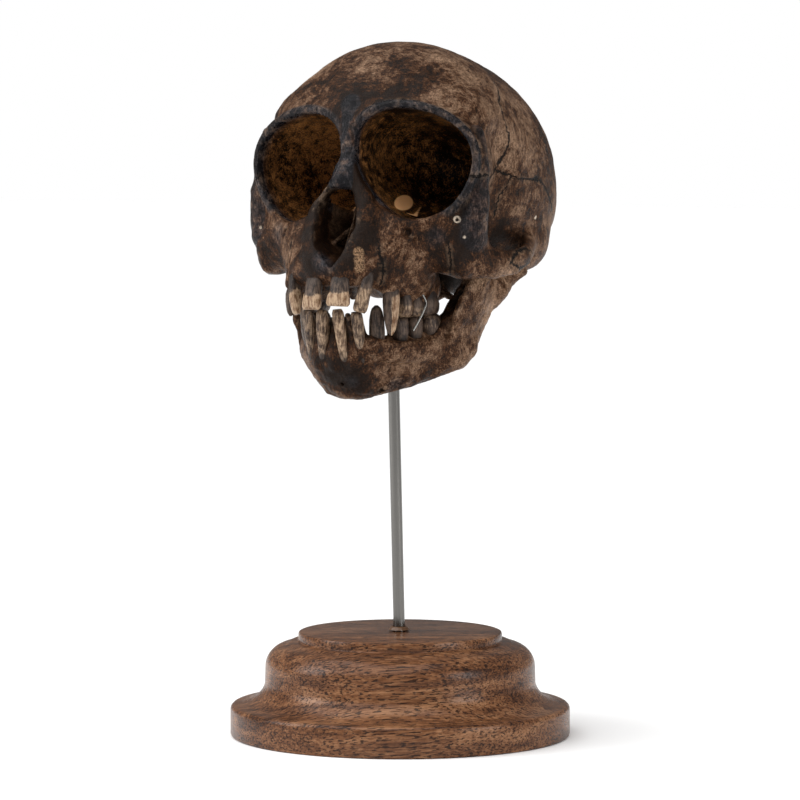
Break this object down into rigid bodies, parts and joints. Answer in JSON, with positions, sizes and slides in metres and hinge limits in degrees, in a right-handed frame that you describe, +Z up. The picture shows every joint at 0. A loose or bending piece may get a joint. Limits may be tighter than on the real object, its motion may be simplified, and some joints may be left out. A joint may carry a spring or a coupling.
{
  "type": "vervet monkey skull",
  "caption": "Young vervet monkey skull with its lower jaw and loose-looking teeth, held on a thin steel rod above a turned round wooden base.",
  "frame": {"origin": "middle of the flat foot of the wooden base, on the surface it stands on", "axes": "+Z up along the stand, -Y the way the face looks, +X to the skull's own left"},
  "size_m": [0.076, 0.0843, 0.1547],
  "materials": {
    "bone": "dark brown, waxed and smoke-stained bone with tan worn patches, satin",
    "tooth": "stained ivory crowns and brown roots, satin to glossy",
    "wood": "varnished brown open-pored hardwood, satin",
    "steel": "drawn bright steel rod",
    "wire": "thin dull pale wire",
    "glue": "brown dried glue, glossy"
  },
  "bodies": {
    "root": {"base": "wood", "rod": "steel", "glue_ring": "glue", "cranium": "bone", "mandible": "bone", "upper_left_incisor_1": "tooth", "upper_left_incisor_2": "tooth", "upper_left_canine": "tooth", "upper_left_premolar_1": "tooth", "upper_left_premolar_2": "tooth", "upper_left_molar": "tooth", "upper_right_incisor_1": "tooth", "upper_right_incisor_2": "tooth", "upper_right_canine": "tooth", "upper_right_premolar_1": "tooth", "upper_right_premolar_2": "tooth", "upper_right_molar": "tooth", "lower_left_incisor_1": "tooth", "lower_left_incisor_2": "tooth", "lower_left_canine": "tooth", "lower_left_premolar_1": "tooth", "lower_left_premolar_2": "tooth", "lower_left_molar": "tooth", "lower_right_incisor_1": "tooth", "lower_right_incisor_2": "tooth", "lower_right_canine": "tooth", "lower_right_premolar_1": "tooth", "lower_right_premolar_2": "tooth", "lower_right_molar": "tooth", "jaw_wire": "wire"}
  },
  "joints": []
}
